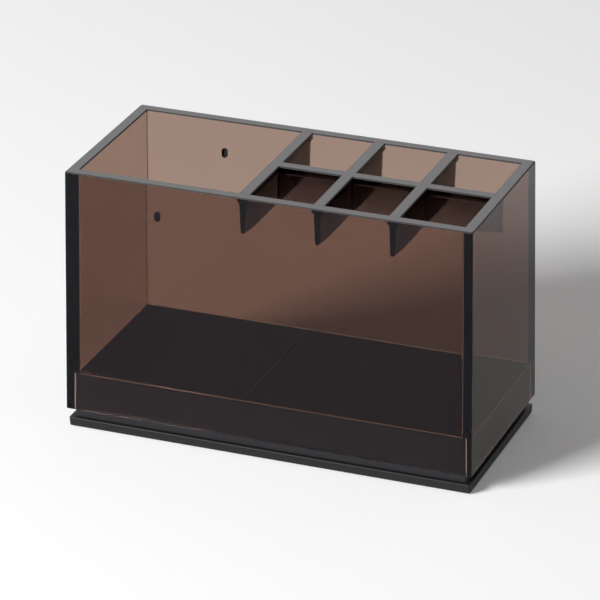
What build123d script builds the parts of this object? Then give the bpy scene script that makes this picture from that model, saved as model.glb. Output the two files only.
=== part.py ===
from build123d import *
from math import asin, degrees, radians, tan
import os

# Brush holder: a smoky clear sleeve, open at the top, with a lattice of dividers at its rim.
# The sleeve stands by an inner shoulder on a black plinth, and the plinth stands on a black plate.
# Sizes are millimetres and angles are degrees. X runs along the long side, Y from front to back.
# Z is up from the surface that the holder stands on, with the origin under its middle.

# Sleeve
rim_width = 160.0
rim_depth = 72.1
sleeve_height = 97.2
wall_thickness = 4.4
wall_lean = 0.87  # each wall leans outwards on its way down
corner_radius = 0.8
rim_radius = 0.5
foot_radius = 0.3  # outer edge of the sleeve's foot

# Skirt, the thinner foot of the sleeve that hangs round the plinth
skirt_height = 14.6
skirt_thickness = 2.55  # where it leaves the shoulder
skirt_clearance = 0.3

# Sockets for the pins of a loose partition, one in the front wall and one in the back wall
socket_width = 2.3
socket_height = 3.9
socket_drop = 13.6  # from the rim to the middle of a socket

# Dividers: a flange flush with the rim, a chamfer and a drafted blade with a round bottom
cell_width = 24.6
cell_columns = 3
flange_width = 4.6
flange_depth = 2.4
flange_chamfer = 0.9  # height of the chamfer under the flange
blade_thickness = 2.7  # under the chamfer
blade_draft = 2.4
blade_bottom_radius = 0.7
cross_divider_depth = 16.3
long_divider_depth = 15.4
blade_rise = 1.2  # how far a blade's bottom rises, in a wide arc, to meet a wall
blade_rise_length = 15.0
long_divider_forward = 0.8  # from the middle of the holder to the long divider's centre line
lap_depth = 7.5  # a cross divider is whole down to here, the long divider below it

# Plinth
neck_height = 3.8  # what shows of the plinth between the plate and the sleeve
plinth_draft = 1.43
plinth_corner_radius = 1.0
plinth_shell = 2.4
plinth_lead_in = 0.5  # chamfer round the top, which guides the sleeve on
rib_thickness = 1.8
rib_count = 3
ridge_width = 0.8
ridge_height = 0.4
ridge_end_gap = 2.6  # from the ridge's end to the wall

# Plate, with a low tongue that locates the plinth
plate_thickness = 3.6
plate_inset = 0.62  # from the outside of the sleeve's foot to the top edge of the plate
plate_draft = 3.0
plate_corner_radius = 0.8
plate_edge_radius = 0.4
tongue_height = 2.0
tongue_thickness = 1.6
tongue_clearance = 0.2
rib_clearance = 0.5  # from the tongue to the ribs over it

# Foot pads
pad_diameter = 10.0
pad_thickness = 1.1
pad_recess = 0.6
pad_clearance = 0.2
pad_chamfer = 0.2
pad_inset = 12.0  # from the plate's edge to a pad's centre

# Levels
plate_bottom = pad_thickness - pad_recess
plate_top = plate_bottom + plate_thickness
sleeve_bottom = plate_top + neck_height
floor_level = sleeve_bottom + skirt_height
rim_level = sleeve_bottom + sleeve_height


def sleeve_size(level, inset=0.0):
    """Width and depth of the sleeve's outside at a level, less an inset on each side."""
    growth = (rim_level - level) * tan(radians(wall_lean)) - inset
    return rim_width + 2 * growth, rim_depth + 2 * growth


def plinth_size(level, inset=0.0):
    """Width and depth of the plinth's outside at a level, less an inset on each side."""
    growth = (floor_level - level) * tan(radians(plinth_draft)) - inset
    top_width, top_depth = sleeve_size(floor_level, skirt_thickness + skirt_clearance)
    return top_width + 2 * growth, top_depth + 2 * growth


def plate_size(level, inset=0.0):
    """Width and depth of the plate at a level, less an inset on each side."""
    growth = (level - plate_top) * tan(radians(plate_draft)) - inset
    top_width, top_depth = sleeve_size(sleeve_bottom, plate_inset)
    return top_width + 2 * growth, top_depth + 2 * growth


def drafted_block(low, high, size_at, draft, inset=0.0, radius=0.0):
    """A block on the outline that size_at gives at the low level, narrowing upwards by its draft."""
    with BuildPart() as block:
        with BuildSketch(Plane.XY.offset(low)):
            Rectangle(*size_at(low, inset))
        extrude(amount=high - low, taper=draft)
        if radius:
            level_edges = block.edges().group_by(Axis.Z)[0] + block.edges().group_by(Axis.Z)[-1]
            fillet(block.edges() - level_edges, radius)
    return block.part


def blade_half_width(depth):
    """Half the blade's thickness at a depth under the rim."""
    below_chamfer = depth - flange_depth - flange_chamfer
    return blade_thickness / 2 - below_chamfer * tan(radians(blade_draft))


def divider_section(depth):
    """The T section down to a depth, with the middle of its top at the sketch's origin."""
    with BuildSketch() as section:
        with BuildLine():
            Polyline(
                (0, 0),
                (flange_width / 2, 0),
                (flange_width / 2, -flange_depth),
                (blade_thickness / 2, -flange_depth - flange_chamfer),
                (blade_half_width(depth), -depth),
                (0, -depth),
            )
            mirror(about=Plane.YZ)
        make_face()
    return section.sketch


def divider_blank(length, depth, wall_to_wall=False):
    """A divider along X under Z 0, from X 0 to past a wall at its length, or past two walls."""
    start = -length - beyond if wall_to_wall else 0
    rise_start = length - blade_rise_length
    rise_radius = (blade_rise_length**2 + blade_rise**2) / (2 * blade_rise)
    rise_angle = degrees(asin((blade_rise_length + beyond) / rise_radius))
    with BuildPart() as blank:
        with BuildSketch(Plane.YZ.offset(start)):
            add(divider_section(depth))
        extrude(amount=length + beyond - start)
        with BuildSketch(Plane.XZ):
            with BuildLine():
                rise = JernArc((rise_start, -depth), (1, 0), rise_radius, rise_angle)
                Polyline(
                    rise @ 1, ((rise @ 1).X, -depth - beyond), (rise_start, -depth - beyond), rise @ 0
                )
            make_face()
            if wall_to_wall:
                mirror(about=Plane.YZ)
        extrude(amount=flange_width, both=True, mode=Mode.SUBTRACT)
        lower_edges = blank.edges().filter_by(lambda edge: edge.center().Z < -depth / 2)
        bottom_edges = lower_edges.filter_by(
            lambda edge: edge.bounding_box().size.X > blade_thickness
        )
        fillet(bottom_edges, blade_bottom_radius)
    return blank.part


def finish(piece, name):
    """Labels a finished piece and writes it."""
    piece.part.label = name
    export_step(piece.part, f"parts/{name}.step")


os.makedirs("parts", exist_ok=True)

# Sizes that several pieces share
inside_width, inside_depth = sleeve_size(rim_level, wall_thickness)
first_divider_x = inside_width / 2 - cell_columns * (cell_width + flange_width) + flange_width / 2
cross_divider_places = [
    first_divider_x + column * (cell_width + flange_width) for column in range(cell_columns)
]
long_divider_y = -long_divider_forward
socket_x = (first_divider_x - flange_width / 2 - inside_width / 2) / 2
socket_level = rim_level - socket_drop
foot_width, foot_depth = sleeve_size(sleeve_bottom)
beyond = wall_thickness  # how far the cutting shapes run past what they cut

cut_bottom = sleeve_bottom - beyond
cut_top = rim_level + beyond

sleeve_outside = drafted_block(
    sleeve_bottom, rim_level, sleeve_size, wall_lean, radius=corner_radius
)
sleeve_inside = drafted_block(cut_bottom, cut_top, sleeve_size, wall_lean, wall_thickness)
skirt_inside = drafted_block(
    cut_bottom, floor_level, plinth_size, plinth_draft, -skirt_clearance
)

# The ring of all four walls, before it is cut apart at its corners
with BuildPart() as ring:
    add(sleeve_outside)
    fillet(ring.edges().group_by(Axis.Z)[-1], rim_radius)
    fillet(ring.edges().group_by(Axis.Z)[0], foot_radius)
    add(sleeve_inside, mode=Mode.SUBTRACT)
    add(skirt_inside, mode=Mode.SUBTRACT)

# Each wall is the ring inside a wedge whose slanting sides are the mitres at the corners
mitre_x = foot_width / 2 + beyond
mitre_y = foot_depth / 2 + beyond

with BuildPart() as front_wall:
    add(ring.part)
    with BuildSketch(Plane.XY.offset(sleeve_bottom)):
        Polygon(
            (-mitre_x, -mitre_y),
            (mitre_x, -mitre_y),
            (mitre_x - mitre_y, 0),
            (mitre_y - mitre_x, 0),
            align=None,
        )
    extrude(amount=sleeve_height, mode=Mode.INTERSECT)
    with BuildSketch(Plane.XZ):
        with Locations((socket_x, socket_level)):
            SlotOverall(socket_height, socket_width, rotation=90)
    extrude(amount=mitre_y, mode=Mode.SUBTRACT)
finish(front_wall, "front_wall")

with BuildPart() as back_wall:
    add(ring.part)
    with BuildSketch(Plane.XY.offset(sleeve_bottom)):
        Polygon(
            (mitre_x, mitre_y),
            (-mitre_x, mitre_y),
            (mitre_y - mitre_x, 0),
            (mitre_x - mitre_y, 0),
            align=None,
        )
    extrude(amount=sleeve_height, mode=Mode.INTERSECT)
    with BuildSketch(Plane.XZ):
        with Locations((socket_x, socket_level)):
            SlotOverall(socket_height, socket_width, rotation=90)
    extrude(amount=-mitre_y, mode=Mode.SUBTRACT)
finish(back_wall, "back_wall")

with BuildPart() as left_wall:
    add(ring.part)
    with BuildSketch(Plane.XY.offset(sleeve_bottom)):
        Polygon(
            (-mitre_x, mitre_y), (-mitre_x, -mitre_y), (mitre_y - mitre_x, 0), align=None
        )
    extrude(amount=sleeve_height, mode=Mode.INTERSECT)
finish(left_wall, "left_wall")

with BuildPart() as right_wall:
    mirror(left_wall.part, about=Plane.YZ)
finish(right_wall, "right_wall")

# Cross dividers run from the front wall to the back wall. All but the first are notched from
# below, to sit over the long divider.
cross_blank = divider_blank(inside_depth / 2, cross_divider_depth, wall_to_wall=True)
notch_depth = cross_divider_depth + beyond

for number, place in enumerate(cross_divider_places, start=1):
    with BuildPart() as cross_divider:
        with Locations(Location((place, 0, rim_level), (0, 0, 90))):
            add(cross_blank)
        add(sleeve_inside, mode=Mode.INTERSECT)
        if number > 1:
            with BuildSketch(Plane.YZ.offset(place)):
                with Locations((long_divider_y, rim_level)):
                    Polygon(
                        (-blade_half_width(lap_depth), -lap_depth),
                        (blade_half_width(lap_depth), -lap_depth),
                        (blade_half_width(notch_depth), -notch_depth),
                        (-blade_half_width(notch_depth), -notch_depth),
                        align=None,
                    )
            extrude(amount=flange_width, both=True, mode=Mode.SUBTRACT)
    finish(cross_divider, f"cross_divider_{number}")

# The long divider butts against the first cross divider and the right wall, and is notched from
# above where it passes under the other cross dividers.
long_blank = divider_blank(inside_width / 2 - first_divider_x, long_divider_depth)
cross_section = divider_section(cross_divider_depth)
lap_section = divider_section(lap_depth)

with BuildPart() as long_divider:
    with Locations((first_divider_x, long_divider_y, rim_level)):
        add(long_blank)
    add(sleeve_inside, mode=Mode.INTERSECT)
    with BuildSketch(Plane.XZ):
        with Locations((first_divider_x, rim_level)):
            add(cross_section)
        with Locations(*[(place, rim_level) for place in cross_divider_places[1:]]):
            add(lap_section)
    extrude(amount=rim_depth, both=True, mode=Mode.SUBTRACT)
finish(long_divider, "long_divider")

# The plinth is a shell, open underneath, with ribs across it and a low ridge on its top
shell_underside = floor_level - plinth_shell
inner_width, inner_depth = plinth_size(plate_top, plinth_shell)
plinth_outside = drafted_block(
    plate_top, floor_level, plinth_size, plinth_draft, radius=plinth_corner_radius
)
plinth_inside = drafted_block(
    plate_top, shell_underside, plinth_size, plinth_draft, plinth_shell
)
floor_width, floor_depth = sleeve_size(floor_level, wall_thickness)

with BuildPart() as plinth:
    add(plinth_outside)
    chamfer(plinth.edges().group_by(Axis.Z)[-1], plinth_lead_in)
    add(plinth_inside, mode=Mode.SUBTRACT)
    with BuildSketch(Plane.XY.offset(plate_top + tongue_height + rib_clearance)):
        with GridLocations(inner_width / (rib_count + 1), 0, rib_count, 1):
            Rectangle(rib_thickness, floor_depth)
    extrude(until=Until.NEXT)
    with BuildSketch(Plane.XY.offset(floor_level)):
        with Locations((first_divider_x, 0)):
            Rectangle(ridge_width, floor_depth - 2 * ridge_end_gap)
    extrude(amount=ridge_height)
finish(plinth, "plinth")

# The plate, with the tongue standing inside the plinth and a shallow recess over each foot pad
plate_outside = drafted_block(
    plate_bottom, plate_top, plate_size, -plate_draft, radius=plate_corner_radius
)
underside_width, underside_depth = plate_size(plate_bottom)
pad_spacing_x = underside_width - 2 * pad_inset
pad_spacing_y = underside_depth - 2 * pad_inset

with BuildPart() as base_plate:
    add(plate_outside)
    fillet(base_plate.edges().group_by(Axis.Z)[-1], plate_edge_radius)
    fillet(base_plate.edges().group_by(Axis.Z)[0], plate_edge_radius)
    with BuildSketch(Plane.XY.offset(plate_top)):
        Rectangle(inner_width - 2 * tongue_clearance, inner_depth - 2 * tongue_clearance)
        offset(amount=-tongue_thickness, mode=Mode.SUBTRACT)
    extrude(amount=tongue_height)
    with BuildSketch(Plane.XY.offset(plate_bottom)):
        with GridLocations(pad_spacing_x, pad_spacing_y, 2, 2):
            Circle(pad_diameter / 2 + pad_clearance)
    extrude(amount=pad_recess, mode=Mode.SUBTRACT)
finish(base_plate, "base_plate")

with BuildPart() as foot_pads:
    with BuildSketch():
        with GridLocations(pad_spacing_x, pad_spacing_y, 2, 2):
            Circle(pad_diameter / 2)
    extrude(amount=pad_thickness)
    chamfer(foot_pads.edges().group_by(Axis.Z)[0], pad_chamfer)
finish(foot_pads, "foot_pads")
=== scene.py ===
import math

import bmesh
import bpy
import numpy as np
from mathutils import Matrix, Vector


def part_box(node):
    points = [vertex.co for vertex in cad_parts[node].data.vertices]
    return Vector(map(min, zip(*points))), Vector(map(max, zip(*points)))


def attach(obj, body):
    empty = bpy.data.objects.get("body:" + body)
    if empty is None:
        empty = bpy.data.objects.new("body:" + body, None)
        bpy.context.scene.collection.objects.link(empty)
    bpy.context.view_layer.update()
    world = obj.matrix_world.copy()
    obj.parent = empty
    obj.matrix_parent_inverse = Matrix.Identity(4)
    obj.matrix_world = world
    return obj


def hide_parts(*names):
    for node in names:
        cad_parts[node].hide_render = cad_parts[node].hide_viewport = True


# A brush holder. The sleeve of smoky walls and its dividers are made here, each as one closed piece. The
# plinth, the plate and the pads keep the meshes of their solids and get their plastics
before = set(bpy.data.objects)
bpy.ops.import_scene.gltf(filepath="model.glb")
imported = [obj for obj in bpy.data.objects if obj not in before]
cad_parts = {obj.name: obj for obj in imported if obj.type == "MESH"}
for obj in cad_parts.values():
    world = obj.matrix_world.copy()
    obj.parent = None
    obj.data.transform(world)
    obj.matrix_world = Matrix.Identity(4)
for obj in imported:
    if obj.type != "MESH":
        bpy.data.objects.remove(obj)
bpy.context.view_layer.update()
scene = bpy.context.scene
print("frame loaded:", len(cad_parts), "nodes")

mm = 0.001
near = 0.01 * mm         # levels and planes this close are the same
mergeGap = 0.0001 * mm   # points this close are made one
white = (1.0, 1.0, 1.0, 1.0)

# What the frame says about the sleeve, whose foot is its widest part
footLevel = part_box("front_wall")[0].z
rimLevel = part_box("front_wall")[1].z
footHalf = np.array([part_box("right_wall")[1].x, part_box("back_wall")[1].y])
wallNodes = sorted(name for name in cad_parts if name.endswith("_wall"))
crossNodes = sorted(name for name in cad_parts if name.startswith("cross_divider"))


# Puts some data in the scene as an object
def placed(name, data):
    thing = bpy.data.objects.new(name, data)
    scene.collection.objects.link(thing)
    return thing


# Quads between neighbouring points of a grid of rows, each of which closes into a ring. With closedRows the
# last row also joins the first
def gridFaces(rows, columns, closedRows):
    bands = rows if closedRows else rows - 1
    row, column = np.meshgrid(np.arange(bands), np.arange(columns), indexing="ij")
    nextRow = (row + 1) % rows
    nextColumn = (column + 1) % columns
    quads = np.stack([
        row * columns + column,
        row * columns + nextColumn,
        nextRow * columns + nextColumn,
        nextRow * columns + column,
    ], axis=-1)
    return quads.reshape(-1, 4).tolist()


# A closed shape from its points and faces. One whose signed volume is negative is inside out, and is turned
def solidPiece(name, points, faces):
    mesh = bpy.data.meshes.new(name)
    mesh.from_pydata(points.reshape(-1, 3).tolist(), [], faces)
    shape = bmesh.new()
    shape.from_mesh(mesh)
    bmesh.ops.remove_doubles(shape, verts=shape.verts[:], dist=mergeGap)
    if shape.calc_volume(signed=True) < 0:
        bmesh.ops.reverse_faces(shape, faces=shape.faces[:])
    shape.to_mesh(mesh)
    shape.free()
    return placed(name, mesh)


# A closed profile from its half at positive u: the half, then its mirror image (-u, v) taken backwards
def mirrored(half):
    return np.concatenate([half, half[..., ::-1, :] * np.array([-1, 1])], axis=-2)


# The faces of a mirrored profile that is carried through some rows: its sides, and at each end a cap of
# quads that join the points to their mirror images, with the two caps turned opposite ways
def profileFaces(rows, count):
    step = np.arange(count // 2 - 1)
    cap = np.stack([step, step + 1, count - 2 - step, count - 1 - step], axis=1)
    firstCap = cap[:, ::-1].tolist()
    lastCap = (cap + (rows - 1) * count).tolist()
    return gridFaces(rows, count, False) + firstCap + lastCap


# Applies a piece's modifiers
def settle(piece):
    bpy.context.view_layer.update()
    depsgraph = bpy.context.evaluated_depsgraph_get()
    mesh = bpy.data.meshes.new_from_object(piece.evaluated_get(depsgraph))
    piece.modifiers.clear()
    piece.data = mesh


# Joins the others to a piece, or cuts them out of it
def combined(piece, others, operation):
    for other in others:
        step = piece.modifiers.new(other.name, "BOOLEAN")
        step.operation = operation
        step.solver = "EXACT"
        step.object = other
    settle(piece)
    for other in others:
        bpy.data.objects.remove(other)


# The walls lean outwards towards the foot. Below an inner shoulder they thin to a skirt
sleeve = {
    "wall": 4.4 * mm,
    "lean": math.radians(0.87),
    "shoulder": 14.6 * mm,          # above the foot
    "skirt": 2.55 * mm,             # its thickness at the shoulder
    "skirtDraft": math.radians(1.43),
    "cornerRadius": 0.5 * mm,       # of the corners outside
    "innerRadius": 0.8 * mm,        # of the corners inside
    "skirtRadius": 1.3 * mm,        # of the corners inside the skirt
    "rimRadius": 0.5 * mm,
    "footRadius": 0.3 * mm,
    "roundSteps": 4,                # strips across a rounded edge
    "socketWidth": 2.3 * mm,
    "socketHeight": 3.9 * mm,
    "socketDrop": 13.6 * mm,        # from the rim to the middle of a socket
    "socketDepth": 1.0 * mm,        # into the wall from inside
    "socketSteps": 9,               # points round a quarter of a circle
}

shoulderLevel = footLevel + sleeve["shoulder"]


# Half the width and depth outside at a level: those of the foot, less the height over it times tan(lean)
def outsideHalf(level):
    return footHalf - (level - footLevel) * math.tan(sleeve["lean"])


# Half the width and depth inside at a level over the shoulder: those outside less the wall
def insideHalf(level):
    return outsideHalf(level) - sleeve["wall"]


# Six rings go up the outside, over the rim, down the inside and the shoulder, and down inside the skirt,
# and the last joins the first. A ring is the four corners (+-half width, +-half depth, level)
def wallRings():
    skirtTop = outsideHalf(shoulderLevel) - sleeve["skirt"]
    halves = np.array([
        outsideHalf(footLevel),
        outsideHalf(rimLevel),
        insideHalf(rimLevel),
        insideHalf(shoulderLevel),
        skirtTop,
        skirtTop + sleeve["shoulder"] * math.tan(sleeve["skirtDraft"]),
    ])
    levels = np.array([footLevel, rimLevel, rimLevel, shoulderLevel, shoulderLevel, footLevel])
    turns = np.array([[-1, -1], [1, -1], [1, 1], [-1, 1]])
    plan = halves[:, None, :] * turns
    height = np.broadcast_to(levels[:, None, None], (len(levels), len(turns), 1))
    points = np.concatenate([plan, height], axis=2)
    return solidPiece("smoky_sleeve", points, gridFaces(len(levels), len(turns), True))


# The radius of an edge. One that isn't level stands at a corner outside, inside or inside the skirt. The
# level ones are at the rim, at the foot and at the shoulder, which stays sharp
def edgeRadius(edge):
    low, high = sorted(vert.co.z for vert in edge.verts)
    deepest = max(outsideHalf(vert.co.z)[0] - abs(vert.co.x) for vert in edge.verts)
    if high - low > near:
        inner = sleeve["innerRadius"] if high > shoulderLevel + near else sleeve["skirtRadius"]
        return sleeve["cornerRadius"] if deepest < near else inner
    if abs(low - rimLevel) < near:
        return sleeve["rimRadius"]
    return sleeve["footRadius"] if abs(low - footLevel) < near else 0


# Rounds each edge by its own radius, which the bevel takes as a share of the largest
def softenEdges(piece):
    shape = bmesh.new()
    shape.from_mesh(piece.data)
    weights = shape.edges.layers.float.new("bevel_weight_edge")
    largest = max(edgeRadius(edge) for edge in shape.edges)
    for edge in shape.edges:
        edge[weights] = edgeRadius(edge) / largest
    shape.to_mesh(piece.data)
    shape.free()
    bevel = piece.modifiers.new("rounded edges", "BEVEL")
    bevel.width = largest
    bevel.segments = sleeve["roundSteps"]
    bevel.limit_method = "WEIGHT"
    bevel.use_clamp_overlap = False
    settle(piece)


# The x of the sockets, half way from the left wall to the first divider, and their level
def socketPlace():
    leftWall = -insideHalf(rimLevel)[0]
    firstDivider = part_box(crossNodes[0])[0].x
    return (firstDivider + leftWall) / 2, rimLevel - sleeve["socketDrop"]


# A bar that reaches into the front and back walls. Its section is two half circles of radius
# r = width / 2, whose middles are height / 2 - r above and below the middle of the socket
def socketBar():
    radius = sleeve["socketWidth"] / 2
    rise = sleeve["socketHeight"] / 2 - radius
    turn = np.linspace(math.pi / 2, 0, sleeve["socketSteps"])
    upper = np.stack([radius * np.cos(turn), rise + radius * np.sin(turn)], axis=1)
    lower = upper[::-1] * np.array([1, -1])
    profile = mirrored(np.concatenate([upper, lower]))
    middle, level = socketPlace()
    reach = insideHalf(level)[1] + sleeve["socketDepth"]
    ends = np.broadcast_to(np.array([-reach, reach])[:, None], (2, len(profile)))
    across = np.broadcast_to(profile[:, 0] + middle, ends.shape)
    height = np.broadcast_to(profile[:, 1] + level, ends.shape)
    points = np.stack([across, ends, height], axis=2)
    return solidPiece("socket_bar", points, profileFaces(2, len(profile)))


def makeWalls():
    piece = wallRings()
    softenEdges(piece)
    combined(piece, [socketBar()], "DIFFERENCE")
    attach(piece, "sleeve")
    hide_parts(*wallNodes)
    print("walls:", len(piece.data.polygons), "faces")
    return piece


# The dividers are T sections: a flange, a chamfer under it and a drafted blade with a round bottom
divider = {
    "flangeDepth": 2.4 * mm,
    "edgeRadius": 0.5 * mm,         # of the flange's top edges
    "chamfer": 0.9 * mm,            # its height
    "blade": 2.7 * mm,              # thickness under the chamfer
    "bladeDraft": math.radians(2.4),
    "bottomRadius": 0.7 * mm,
    "rise": 1.2 * mm,               # how far the bottom rises to meet a wall
    "riseLength": 15.0 * mm,
    "riseSteps": 10,                # points along the rise
    "arcSteps": 7,                  # points round a quarter of a circle
    "letIn": 0.6 * mm,              # depth of the ends in the walls
    "sunk": 0.02 * mm,              # depth of a coped end in the divider that it meets
}


# An arc at middle + radius * (cos turn, sin turn). The middle may be one point or a row of points
def roundCorner(middle, radius, fromTurn, toTurn):
    turn = np.linspace(fromTurn, toTurn, divider["arcSteps"])
    arc = radius * np.stack([np.cos(turn), np.sin(turn)], axis=1)
    return np.asarray(middle)[..., None, :] + arc


# A T section (u, v) for each depth, with v = 0 at the rim. Its half goes round the flange's top edge, down
# its side, in along the chamfer, down the blade and round the bottom. At a drop d below the chamfer the
# blade's u is half its thickness, less d * tan(draft)
def dividerProfiles(width, depths):
    edge = divider["edgeRadius"]
    radius = divider["bottomRadius"]
    bladeTop = divider["flangeDepth"] + divider["chamfer"]
    bladeFoot = divider["blade"] / 2 - (depths - radius - bladeTop) * math.tan(divider["bladeDraft"])
    top = roundCorner([width / 2 - edge, -edge], edge, math.pi / 2, 0)
    chamfer = np.array([[width / 2, -divider["flangeDepth"]], [divider["blade"] / 2, -bladeTop]])
    upper = np.concatenate([top, chamfer])
    uppers = np.broadcast_to(upper, (len(depths), *upper.shape))
    middles = np.stack([bladeFoot - radius, radius - depths], axis=1)
    bottoms = roundCorner(middles, radius, 0, -math.pi / 2)
    return mirrored(np.concatenate([uppers, bottoms], axis=1))


# The arc by which a bottom rises: R - sqrt(R * R - s * s) at a distance s along it, where
# R = (length * length + rise * rise) / (2 * rise)
def bottomRise():
    length = divider["riseLength"]
    rise = divider["rise"]
    radius = (length ** 2 + rise ** 2) / (2 * rise)
    step = np.linspace(0, length, divider["riseSteps"])
    return step, radius - np.sqrt(radius ** 2 - step ** 2)


# How far each point of an end stops short of the wall's inside at the rim: v * tan(lean), which is negative
# because the wall leans outwards below the rim, less the depth that the end is let in
def wallEnd(profile):
    return profile[:, 1] * math.tan(sleeve["lean"]) - divider["letIn"]


# How far each point of an end stops short of the middle line of a divider with the same section: the size
# of u, less the depth that the end is sunk
def copedEnd(profile):
    return np.abs(profile[:, 0]) - divider["sunk"]


# A divider. Its points are start + u * across + distance * along, at the rim's level + v. Its section is its
# width and depth, and its bottom rises at each end that meets a wall
def dividerBar(name, start, end, section, startWall, endWall):
    width, depth = section
    start = np.array(start)
    end = np.array(end)
    length = np.linalg.norm(end - start)
    along = (end - start) / length
    across = np.array([-along[1], along[0]])
    step, rise = bottomRise()
    stations = np.concatenate([
        step if startWall else [0],
        length - step[::-1] if endWall else [length],
    ])
    depths = depth - np.concatenate([
        rise[::-1] if startWall else [0],
        rise if endWall else [0],
    ])
    profiles = dividerProfiles(width, depths)
    count = profiles.shape[1]
    distance = np.repeat(stations[:, None], count, axis=1)
    distance[0] += (wallEnd if startWall else copedEnd)(profiles[0])
    distance[-1] -= (wallEnd if endWall else copedEnd)(profiles[-1])
    plan = start + profiles[..., :1] * across + distance[..., None] * along
    points = np.concatenate([plan, profiles[..., 1:] + rimLevel], axis=2)
    return solidPiece(name, points, profileFaces(len(stations), count))


# The cross dividers on the middle lines of their nodes, and the long divider in lengths between them
def latticeBars():
    insideX, insideY = insideHalf(rimLevel)
    bars = []
    stops = []
    for name in crossNodes:
        low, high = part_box(name)
        middle = (low.x + high.x) / 2
        section = (high.x - low.x, high.z - low.z)
        bars.append(dividerBar("cross_bar", [middle, -insideY], [middle, insideY], section, True, True))
        stops.append(middle)
    stops.append(insideX)
    low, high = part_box("long_divider")
    middle = (low.y + high.y) / 2
    section = (high.y - low.y, high.z - low.z)
    for first, second in zip(stops, stops[1:]):
        toWall = second == insideX
        bars.append(dividerBar("long_bar", [first, middle], [second, middle], section, False, toWall))
    return bars


# All the dividers as one closed shape
def makeLattice():
    bars = latticeBars()
    piece = bars[0]
    combined(piece, bars[1:], "UNION")
    piece.name = "divider_lattice"
    piece.data.name = "divider_lattice"
    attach(piece, "sleeve")
    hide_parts(*crossNodes, "long_divider")
    print("dividers:", len(piece.data.polygons), "faces")
    return piece


# One socket of a node. Sums on wires add Math nodes
class Wire:
    def __init__(self, board, socket):
        self.board = board
        self.socket = socket

    def maths(self, operation, first, second):
        return self.board.node("ShaderNodeMath", {"operation": operation}, {0: first, 1: second})

    def __add__(self, other):
        return self.maths("ADD", self, other)

    def __radd__(self, other):
        return self.maths("ADD", other, self)

    def __mul__(self, other):
        return self.maths("MULTIPLY", self, other)

    def __rmul__(self, other):
        return self.maths("MULTIPLY", other, self)

    def __gt__(self, other):
        return self.maths("GREATER_THAN", self, other)

    def atMost(self, other):
        return self.maths("MINIMUM", self, other)


# The node tree of a material or the world. A node's settings are set before its sockets
class Board:
    def __init__(self, tree):
        self.tree = tree
        self.tree.nodes.clear()

    def node(self, kind, settings=None, sockets=None, output=0):
        made = self.tree.nodes.new(kind)
        for key, value in (settings or {}).items():
            setattr(made, key, value)
        for key, value in (sockets or {}).items():
            if isinstance(value, Wire):
                self.tree.links.new(value.socket, made.inputs[key])
            else:
                made.inputs[key].default_value = value
        return Wire(self, made.outputs[output]) if len(made.outputs) else None


def newMaterial(name):
    material = bpy.data.materials.new(name)
    material.use_nodes = True
    return material, Board(material.node_tree)


# Where a point is on its own piece, in metres
def piecePlace(board):
    return board.node("ShaderNodeTexCoord", output="Object")


# Noise from 0 to 1 through the piece, with a scale per metre
def noise(board, scale, detail):
    sockets = {"Vector": piecePlace(board), "Scale": scale, "Detail": detail}
    return board.node("ShaderNodeTexNoise", sockets=sockets, output="Fac")


# 1 over a level of the piece, else 0
def aboveLevel(board, level):
    height = board.node("ShaderNodeSeparateXYZ", sockets={"Vector": piecePlace(board)}, output="Z")
    return height > level


# The numbers of a Mix node's sockets for colours, which share their names with those for numbers
mixFactor = 0
mixFirst = 6
mixSecond = 7
mixResult = 2


# first * (1 - factor) + second * factor
def blended(board, factor, first, second):
    sockets = {mixFactor: factor, mixFirst: first, mixSecond: second}
    return board.node("ShaderNodeMix", {"data_type": "RGBA"}, sockets, output=mixResult)


# The clear plastics. What the inside absorbs, per metre, makes them brown and dark
wallLook = {
    "clear": white,
    "hazy": (0.97, 0.96, 0.955, 1.0),
    "roughness": 0.02,
    "ior": 1.49,
    "reflected": (0.33, 0.335, 0.40, 1.0),
    "absorbed": (0.516, 0.332, 0.222, 1.0),
    "density": 400.0,
}

dividerLook = {
    "clear": white,
    "hazy": (0.95, 0.94, 0.935, 1.0),
    "roughness": 0.04,
    "ior": 1.3,
    "reflected": (0.1, 0.1, 0.1, 1.0),
    "absorbed": (0.35, 0.28, 0.275, 1.0),
    "density": 1300.0,
}

# Faint marks of wiping, the same on both
wipes = {
    "scale": 60.0,
    "detail": 3.0,
    "roughness": 0.03,              # what a full mark adds
}


# Roughness = the look's + what a mark adds * noise, and the surface blends from clear to hazy by that noise
def smokyPlastic(name, look):
    material, board = newMaterial(name)
    marks = noise(board, wipes["scale"], wipes["detail"])
    surface = board.node("ShaderNodeBsdfPrincipled", sockets={
        "Base Color": blended(board, marks, look["clear"], look["hazy"]),
        "Roughness": look["roughness"] + wipes["roughness"] * marks,
        "IOR": look["ior"],
        "Specular Tint": look["reflected"],
        "Transmission Weight": 1.0,
    })
    inside = board.node("ShaderNodeVolumeAbsorption", sockets={
        "Color": look["absorbed"],
        "Density": look["density"],
    })
    board.node("ShaderNodeOutputMaterial", sockets={"Surface": surface, "Volume": inside})
    return material


# The opaque plastics. Their grain has a scale per metre
rimLook = {
    "dark": (0.088, 0.084, 0.088, 1.0),
    "light": (0.112, 0.107, 0.112, 1.0),
    "roughness": 0.35,
    "specular": 0.5,
    "grain": 2500.0,
    "bump": 0.10,
}

# Painted shade: near black for the rim's rounded edges and the sockets' insides, where the clear plastic
# only looks dark
edgeShadeLook = {
    "dark": (0.012, 0.011, 0.011, 1.0),
    "light": (0.018, 0.016, 0.016, 1.0),
    "roughness": 0.45,
    "specular": 0.2,
    "grain": 2500.0,
    "bump": 0.05,
}

plinthLook = {
    "dark": (0.0102, 0.0102, 0.0122, 1.0),
    "light": (0.0148, 0.0148, 0.0176, 1.0),
    # Painted highlight: the ridge across the top gets a lighter colour for the light line it catches
    "ridgeHighlight": (0.060, 0.060, 0.068, 1.0),
    "ridgeHighlightFrom": shoulderLevel + 0.1 * mm,     # only the ridge across the top is higher
    "roughness": 0.46,
    "specular": 0.15,
    "grain": 5000.0,
    "bump": 0.03,
}

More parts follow.
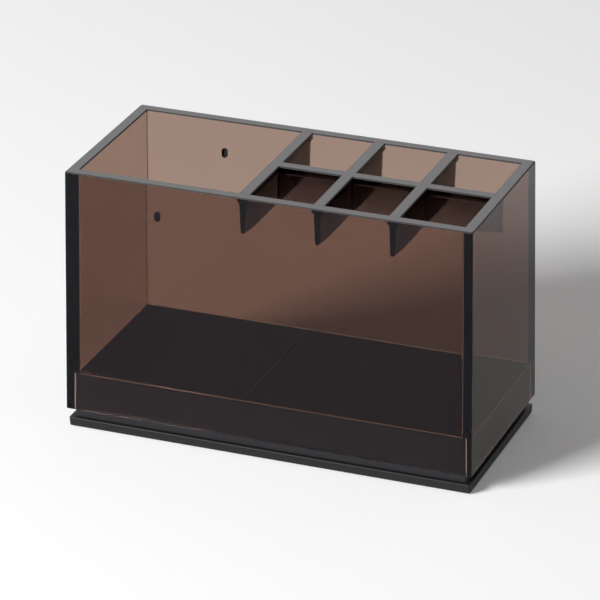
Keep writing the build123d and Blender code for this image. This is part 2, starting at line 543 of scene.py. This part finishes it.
plateLook = {
    "dark": (0.0064, 0.0062, 0.0067, 1.0),
    "light": (0.0108, 0.0104, 0.0111, 1.0),
    "roughness": 0.40,
    "specular": 0.2,
    "grain": 1800.0,
    "bump": 0.08,
}

# What these four share
opaque = {
    "ior": 1.5,
    "grainDetail": 3.0,
    "grainHeight": 0.03 * mm,
    "patchScale": 45.0,
    "patchDetail": 3.0,
    "patchRoughness": 0.12,         # what a full patch adds
}

padLook = {
    "colour": (0.02, 0.02, 0.02, 1.0),
    "roughness": 0.75,
    "grain": 1200.0,
    "grainDetail": 4.0,
    "grainHeight": 0.08 * mm,
    "grainRoughness": 0.15,         # what full grain adds
    "bump": 0.3,
}


# A normal that follows the slope of strength * distance * height
def bumped(board, height, strength, distance):
    sockets = {"Height": height, "Strength": strength, "Distance": distance}
    return board.node("ShaderNodeBump", sockets=sockets)


# Patches from a dark to a light colour, over a fine grain. What stands over a level may be painted lighter,
# as a painted highlight
def opaquePlastic(name, look):
    material, board = newMaterial(name)
    grain = noise(board, look["grain"], opaque["grainDetail"])
    patches = noise(board, opaque["patchScale"], opaque["patchDetail"])
    colour = blended(board, patches, look["dark"], look["light"])
    if "ridgeHighlight" in look:
        # Painted highlight on what stands over the level
        colour = blended(board, aboveLevel(board, look["ridgeHighlightFrom"]), colour, look["ridgeHighlight"])
    surface = board.node("ShaderNodeBsdfPrincipled", sockets={
        "Base Color": colour,
        "Roughness": look["roughness"] + opaque["patchRoughness"] * patches,
        "IOR": opaque["ior"],
        "Specular IOR Level": look["specular"],
        "Normal": bumped(board, grain, look["bump"], opaque["grainHeight"]),
    })
    board.node("ShaderNodeOutputMaterial", sockets={"Surface": surface})
    return material


# One colour, rougher where the grain is high
def padRubber():
    material, board = newMaterial("pad_rubber")
    grain = noise(board, padLook["grain"], padLook["grainDetail"])
    surface = board.node("ShaderNodeBsdfPrincipled", sockets={
        "Base Color": padLook["colour"],
        "Roughness": padLook["roughness"] + padLook["grainRoughness"] * grain,
        "Normal": bumped(board, grain, padLook["bump"], padLook["grainHeight"]),
    })
    board.node("ShaderNodeOutputMaterial", sockets={"Surface": surface})
    return material


# Gives its material to a node that keeps its own mesh
def dress(node, material):
    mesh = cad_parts[node].data
    mesh.materials.clear()
    mesh.materials.append(material)


# One vector of each face of a piece, such as its middle or its normal, in rows
def faceVectors(piece, kind):
    values = np.empty(len(piece.data.polygons) * 3)
    piece.data.polygons.foreach_get(kind, values)
    return values.reshape(-1, 3)


# How far up a face's normal points, at least, on the rim's rounded edges and on its level faces
roundedUp = 0.05
levelUp = 0.98


# The rim's level faces get the second material, its rounded edges and the sockets the third, which is
# painted shade, the rest the first. A face is a socket's if its middle is near the socket's and past a
# quarter of the socket's depth
def dressSleeve(piece, body, rim, edge):
    for material in (body, rim, edge):
        piece.data.materials.append(material)
    centres = faceVectors(piece, "center")
    up = faceVectors(piece, "normal")[:, 2]
    middle, level = socketPlace()
    nearSocket = np.hypot(centres[:, 0] - middle, centres[:, 2] - level) < sleeve["socketHeight"]
    quarterDeep = insideHalf(level)[1] + sleeve["socketDepth"] / 4
    inSocket = nearSocket & (np.abs(centres[:, 1]) > quarterDeep)
    atRim = centres[:, 2] > rimLevel - sleeve["rimRadius"]
    kinds = np.select([atRim & (up > levelUp), atRim & (up > roundedUp) | inSocket], [1, 2], 0)
    piece.data.polygons.foreach_set("material_index", kinds.astype(np.int32))


# The floor, the world and the one lamp, in metres and watts
stage = {
    "floorSize": 12.0,
    "floorColour": (0.95, 0.95, 0.95, 1.0),
    "floorGlow": 0.10,              # what the floor adds to its lit colour where it is seen
    "ambient": 0.19,
    "softboxPower": 243.0,
    "softboxSize": 1.45,
    "softboxPlace": (-1.92, -2.55, 1.16),
}


# 1 for rays that show a thing to the camera, straight or by way of gloss and clear plastic, else 0: the sum
# of the three kinds of ray, at most 1
def shownRay(board):
    kinds = ("Is Camera Ray", "Is Glossy Ray", "Is Transmission Ray")
    seen, glossy, through = (board.node("ShaderNodeLightPath", output=kind) for kind in kinds)
    return (seen + glossy + through).atMost(1.0)


# A flat square at level 0. Its shader is its lit colour plus a glow for the rays that show it
def addFloor():
    half = stage["floorSize"] / 2
    corners = [(-half, -half, 0), (half, -half, 0), (half, half, 0), (-half, half, 0)]
    mesh = bpy.data.meshes.new("floor")
    mesh.from_pydata(corners, [], [(0, 1, 2, 3)])
    floor = placed("floor", mesh)
    material, board = newMaterial("floor_white")
    strength = shownRay(board) * stage["floorGlow"]
    lit = board.node("ShaderNodeBsdfDiffuse", sockets={"Color": stage["floorColour"]})
    glow = board.node("ShaderNodeEmission", sockets={"Color": white, "Strength": strength})
    surface = board.node("ShaderNodeAddShader", sockets={0: lit, 1: glow})
    board.node("ShaderNodeOutputMaterial", sockets={"Surface": surface})
    mesh.materials.append(material)


# White for the rays that show it, and a plain light for the rest: ambient + (1 - ambient) * shown
def addWorld():
    scene.world = bpy.data.worlds.new("studio")
    scene.world.use_nodes = True
    board = Board(scene.world.node_tree)
    strength = stage["ambient"] + (1.0 - stage["ambient"]) * shownRay(board)
    background = board.node("ShaderNodeBackground", sockets={"Color": white, "Strength": strength})
    board.node("ShaderNodeOutputWorld", sockets={"Surface": background})


# A square lamp that looks at the middle of the floor
def addSoftbox():
    light = bpy.data.lights.new("softbox", "AREA")
    light.shape = "SQUARE"
    light.size = stage["softboxSize"]
    light.energy = stage["softboxPower"]
    lamp = placed("softbox", light)
    lamp.location = stage["softboxPlace"]
    lamp.rotation_euler = (-Vector(stage["softboxPlace"])).to_track_quat("-Z", "Y").to_euler()


# The camera, fitted to the photograph
camera = {
    "azimuth": 0.3713039,       # radians round from the front
    "elevation": 0.4290523,     # radians above the horizon
    "roll": -0.0032688,
    "distance": 1508.07 * mm,   # from the sleeve's middle, along the view
    "aside": -0.435 * mm,       # to the right of that line
    "above": -5.605 * mm,       # above that line
    "lens": 240.126,            # in millimetres, as the sensor is
    "sensor": 36.0,
    "nearest": 0.05,            # in metres, and nothing nearer is seen
    "farthest": 50.0,           # nor anything farther
}


# The camera stands off the sleeve's middle by its three offsets along its own right, up and back
def addCamera():
    azimuth = camera["azimuth"]
    elevation = camera["elevation"]
    roll = camera["roll"]
    back = Vector((
        math.sin(azimuth) * math.cos(elevation),
        -math.cos(azimuth) * math.cos(elevation),
        math.sin(elevation),
    ))
    level = Vector((math.cos(azimuth), math.sin(azimuth), 0))
    upright = back.cross(level)
    right = level * math.cos(roll) + upright * math.sin(roll)
    up = upright * math.cos(roll) - level * math.sin(roll)
    middle = Vector((0, 0, (footLevel + rimLevel) / 2))
    place = middle + right * camera["aside"] + up * camera["above"] + back * camera["distance"]
    turn = Matrix((right, up, back)).transposed()
    eye = placed("camera", bpy.data.cameras.new("camera"))
    eye.data.lens = camera["lens"]
    eye.data.sensor_width = camera["sensor"]
    eye.data.clip_start = camera["nearest"]
    eye.data.clip_end = camera["farthest"]
    eye.matrix_world = Matrix.Translation(place) @ turn.to_4x4()
    scene.camera = eye


scene.view_settings.view_transform = "Standard"
addCamera()
addFloor()
addWorld()
addSoftbox()
print("stage ready")

rim = opaquePlastic("satin_rim", rimLook)
# The third material of the sleeve and the dividers is painted shade on rounded edges and sockets
edge = opaquePlastic("painted_shade_edge", edgeShadeLook)
dressSleeve(makeWalls(), smokyPlastic("smoky_clear", wallLook), rim, edge)
dressSleeve(makeLattice(), smokyPlastic("smoky_dark", dividerLook), rim, edge)
dress("plinth", opaquePlastic("plinth_plastic", plinthLook))
dress("base_plate", opaquePlastic("plate_plastic", plateLook))
dress("foot_pads", padRubber())
print("pieces dressed")
